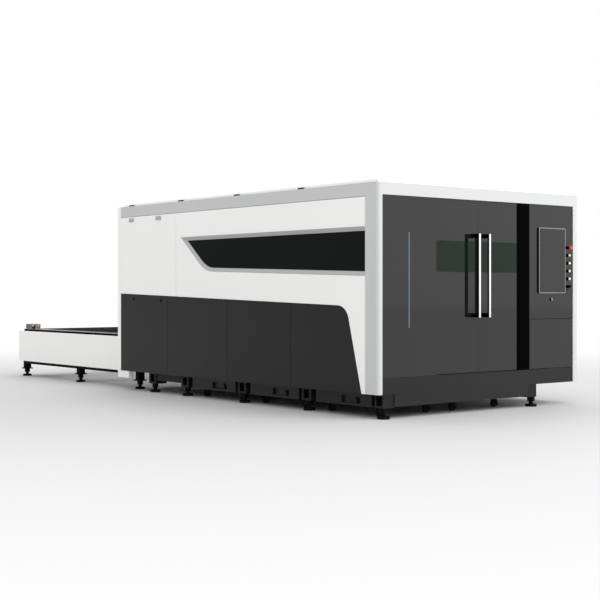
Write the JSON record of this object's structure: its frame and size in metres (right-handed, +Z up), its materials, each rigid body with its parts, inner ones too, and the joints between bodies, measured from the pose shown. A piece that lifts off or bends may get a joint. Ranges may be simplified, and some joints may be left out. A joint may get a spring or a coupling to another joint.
{
  "type": "fiber laser cutting machine",
  "caption": "Enclosed laser cutting machine with sliding front doors, a side window, a console and a low exchange table with two moving pallets behind.",
  "frame": {"origin": "on the floor, under the middle of the whole machine", "axes": "-Y is the operator's end with the doors, +Y runs back to the exchange table, +Z up"},
  "size_m": [2.878, 7.694, 2.227],
  "materials": {
    "silver_frame": "satin silver grey paint",
    "white_panel": "fine satin white paint",
    "dark_panel": "fine textured dark grey paint",
    "gloss_panel": "dark grey high gloss panel",
    "skirt_paint": "satin charcoal paint",
    "black_gloss": "black gloss",
    "bevel_grey": "satin grey paint",
    "side_glass": "dark tinted laser glass",
    "door_glass": "green laser safety glass",
    "light_strip": "lit diffuser",
    "chrome": "polished, black feet",
    "black_paint": "black paint",
    "black_plastic": "fine grained",
    "red_plastic": "moulded",
    "lit_green": "lit lens",
    "steel": "machined",
    "screen": "dark glass face, silver rim",
    "wheel": "solid tread",
    "pallet_steel": "dark mill scale",
    "rail_grey": "light grey paint",
    "roof_white": "satin white paint",
    "motor_grey": "grey machine paint",
    "lock_metal": "plated"
  },
  "bodies": {
    "root": {"front_frame": "silver_frame", "side_frames": "silver_frame", "rear_portal": "silver_frame", "rear_wall": "white_panel", "roof_panels": "roof_white", "roof_lugs": "black_plastic", "left_upper_panel": "white_panel", "left_lower_panels": "dark_panel", "left_window_frame": "bevel_grey", "left_window_glass": "side_glass", "right_upper_panel": "white_panel", "right_lower_panels": "dark_panel", "front_left_panel": "gloss_panel", "led_strip": "light_strip", "entry_column": "black_gloss", "front_skirt": "skirt_paint", "base_front_plate": "skirt_paint", "door_tracks": "steel", "console_housing": "gloss_panel", "monitor": "screen", "button_collars": "black_plastic", "bed_frame": "black_paint", "gantry_rails": "steel", "levelling_feet": "black_plastic", "table_frame": "rail_grey", "table_panels": "white_panel", "table_drive": "motor_grey"},
    "left_door": {"left_door": "gloss_panel", "left_door_glass": "door_glass", "left_door_handle": "chrome"},
    "right_door": {"right_door": "gloss_panel", "right_door_glass": "door_glass", "right_door_handle": "chrome"},
    "console_door": {"console_door": "gloss_panel"},
    "console_lock": {"console_lock": "lock_metal"},
    "key_switch": {"key_switch": "lock_metal"},
    "emergency_stop": {"emergency_stop": "red_plastic"},
    "rear_hatch": {"left_rear_hatch": "white_panel", "hatch_hinges": "bevel_grey"},
    "gantry": {"gantry_beam": "rail_grey"},
    "carriage": {"carriage": "dark_panel"},
    "cutting_head": {"cutting_head": "steel"},
    "upper_pallet": {"upper_pallet": "pallet_steel"},
    "lower_pallet": {"lower_pallet": "pallet_steel"},
    "push_button_1": {"push_button_1": "lit_green"},
    "cart_1": {"cart_1": "black_paint"},
    "cart_1_outer_wheels": {"cart_1_outer_wheels": "wheel"},
    "cart_1_inner_wheels": {"cart_1_inner_wheels": "wheel"},
    "push_button_2": {"push_button_2": "lit_green"},
    "cart_2": {"cart_2": "black_paint"},
    "cart_2_outer_wheels": {"cart_2_outer_wheels": "wheel"},
    "cart_2_inner_wheels": {"cart_2_inner_wheels": "wheel"},
    "push_button_3": {"push_button_3": "lit_green"},
    "cart_3": {"cart_3": "black_paint"},
    "cart_3_outer_wheels": {"cart_3_outer_wheels": "wheel"},
    "cart_3_inner_wheels": {"cart_3_inner_wheels": "wheel"},
    "push_button_4": {"push_button_4": "lit_green"},
    "cart_4": {"cart_4": "black_paint"},
    "cart_4_outer_wheels": {"cart_4_outer_wheels": "wheel"},
    "cart_4_inner_wheels": {"cart_4_inner_wheels": "wheel"}
  },
  "joints": [
    {"name": "left_door_slide", "type": "slide", "parent": "root", "child": "left_door", "axis": [-1, 0, 0], "range_m": [0, 0.45]},
    {"name": "right_door_slide", "type": "slide", "parent": "root", "child": "right_door", "axis": [1, 0, 0], "range_m": [0, 0.45]},
    {"name": "console_door_hinge", "type": "hinge", "parent": "root", "child": "console_door", "pos_m": [1.352, -3.765, 0.645], "axis": [0, 0, 1], "range_deg": [0, 100]},
    {"name": "console_lock_turn", "type": "hinge", "parent": "root", "child": "console_lock", "pos_m": [1.006, -3.765, 1.101], "axis": [0, 1, 0], "range_deg": [0, 90]},
    {"name": "key_switch_turn", "type": "hinge", "parent": "root", "child": "key_switch", "pos_m": [1.272, -3.765, 1.237], "axis": [0, 1, 0], "range_deg": [0, 90]},
    {"name": "emergency_stop_push", "type": "slide", "parent": "root", "child": "emergency_stop", "axis": [0, 1, 0], "range_m": [0, 0.005]},
    {"name": "push_button_1_push", "type": "slide", "parent": "root", "child": "push_button_1", "axis": [0, 1, 0], "range_m": [0, 0.004], "stiffness_N_per_m": 400},
    {"name": "push_button_2_push", "type": "slide", "parent": "root", "child": "push_button_2", "axis": [0, 1, 0], "range_m": [0, 0.004], "stiffness_N_per_m": 400},
    {"name": "push_button_3_push", "type": "slide", "parent": "root", "child": "push_button_3", "axis": [0, 1, 0], "range_m": [0, 0.004], "stiffness_N_per_m": 400},
    {"name": "push_button_4_push", "type": "slide", "parent": "root", "child": "push_button_4", "axis": [0, 1, 0], "range_m": [0, 0.004], "stiffness_N_per_m": 400},
    {"name": "rear_hatch_hinge", "type": "hinge", "parent": "root", "child": "rear_hatch", "pos_m": [-1.435, 0.237, 2.071], "axis": [0, 1, 0], "range_deg": [0, 80]},
    {"name": "pallet_exchange", "type": "slide", "parent": "root", "child": "upper_pallet", "axis": [0, -1, 0], "range_m": [0, 3.26]},
    {"name": "lower_pallet_slide", "type": "slide", "parent": "root", "child": "lower_pallet", "axis": [0, 1, 0], "range_m": [0, 3.26]},
    {"name": "gantry_travel", "type": "slide", "parent": "root", "child": "gantry", "axis": [0, -1, 0], "range_m": [0, 2.9]},
    {"name": "carriage_travel", "type": "slide", "parent": "gantry", "child": "carriage", "axis": [1, 0, 0], "range_m": [-0.75, 0.75]},
    {"name": "head_lift", "type": "slide", "parent": "carriage", "child": "cutting_head", "axis": [0, 0, -1], "range_m": [0, 0.15]},
    {"name": "cart_1_roll", "type": "slide", "parent": "root", "child": "cart_1", "axis": [-1, 0, 0], "range_m": [0, 0.96]},
    {"name": "cart_1_outer_wheels_turn", "type": "hinge", "parent": "cart_1", "child": "cart_1_outer_wheels", "pos_m": [-1.181, -3.169, 0.0425], "axis": [0, 1, 0], "continuous": true},
    {"name": "cart_1_inner_wheels_turn", "type": "hinge", "parent": "cart_1", "child": "cart_1_inner_wheels", "pos_m": [-0.569, -3.169, 0.0425], "axis": [0, 1, 0], "continuous": true},
    {"name": "cart_2_roll", "type": "slide", "parent": "root", "child": "cart_2", "axis": [-1, 0, 0], "range_m": [0, 0.96]},
    {"name": "cart_2_outer_wheels_turn", "type": "hinge", "parent": "cart_2", "child": "cart_2_outer_wheels", "pos_m": [-1.181, -2.078, 0.0425], "axis": [0, 1, 0], "continuous": true},
    {"name": "cart_2_inner_wheels_turn", "type": "hinge", "parent": "cart_2", "child": "cart_2_inner_wheels", "pos_m": [-0.569, -2.078, 0.0425], "axis": [0, 1, 0], "continuous": true},
    {"name": "cart_3_roll", "type": "slide", "parent": "root", "child": "cart_3", "axis": [-1, 0, 0], "range_m": [0, 0.96]},
    {"name": "cart_3_outer_wheels_turn", "type": "hinge", "parent": "cart_3", "child": "cart_3_outer_wheels", "pos_m": [-1.181, -0.983, 0.0425], "axis": [0, 1, 0], "continuous": true},
    {"name": "cart_3_inner_wheels_turn", "type": "hinge", "parent": "cart_3", "child": "cart_3_inner_wheels", "pos_m": [-0.569, -0.983, 0.0425], "axis": [0, 1, 0], "continuous": true},
    {"name": "cart_4_roll", "type": "slide", "parent": "root", "child": "cart_4", "axis": [1, 0, 0], "range_m": [0, 1.8]},
    {"name": "cart_4_outer_wheels_turn", "type": "hinge", "parent": "cart_4", "child": "cart_4_outer_wheels", "pos_m": [0.409, -3.169, 0.0425], "axis": [0, 1, 0], "continuous": true},
    {"name": "cart_4_inner_wheels_turn", "type": "hinge", "parent": "cart_4", "child": "cart_4_inner_wheels", "pos_m": [-0.203, -3.169, 0.0425], "axis": [0, 1, 0], "continuous": true}
  ],
  "couplings": [
    {"joint": "lower_pallet_slide", "follows": "pallet_exchange", "ratio": 1},
    {"joint": "cart_1_outer_wheels_turn", "follows": "cart_1_roll", "rad_per_m": -23.529},
    {"joint": "cart_1_inner_wheels_turn", "follows": "cart_1_roll", "rad_per_m": -23.529},
    {"joint": "cart_2_outer_wheels_turn", "follows": "cart_2_roll", "rad_per_m": -23.529},
    {"joint": "cart_2_inner_wheels_turn", "follows": "cart_2_roll", "rad_per_m": -23.529},
    {"joint": "cart_3_outer_wheels_turn", "follows": "cart_3_roll", "rad_per_m": -23.529},
    {"joint": "cart_3_inner_wheels_turn", "follows": "cart_3_roll", "rad_per_m": -23.529},
    {"joint": "cart_4_outer_wheels_turn", "follows": "cart_4_roll", "rad_per_m": 23.529},
    {"joint": "cart_4_inner_wheels_turn", "follows": "cart_4_roll", "rad_per_m": 23.529}
  ]
}
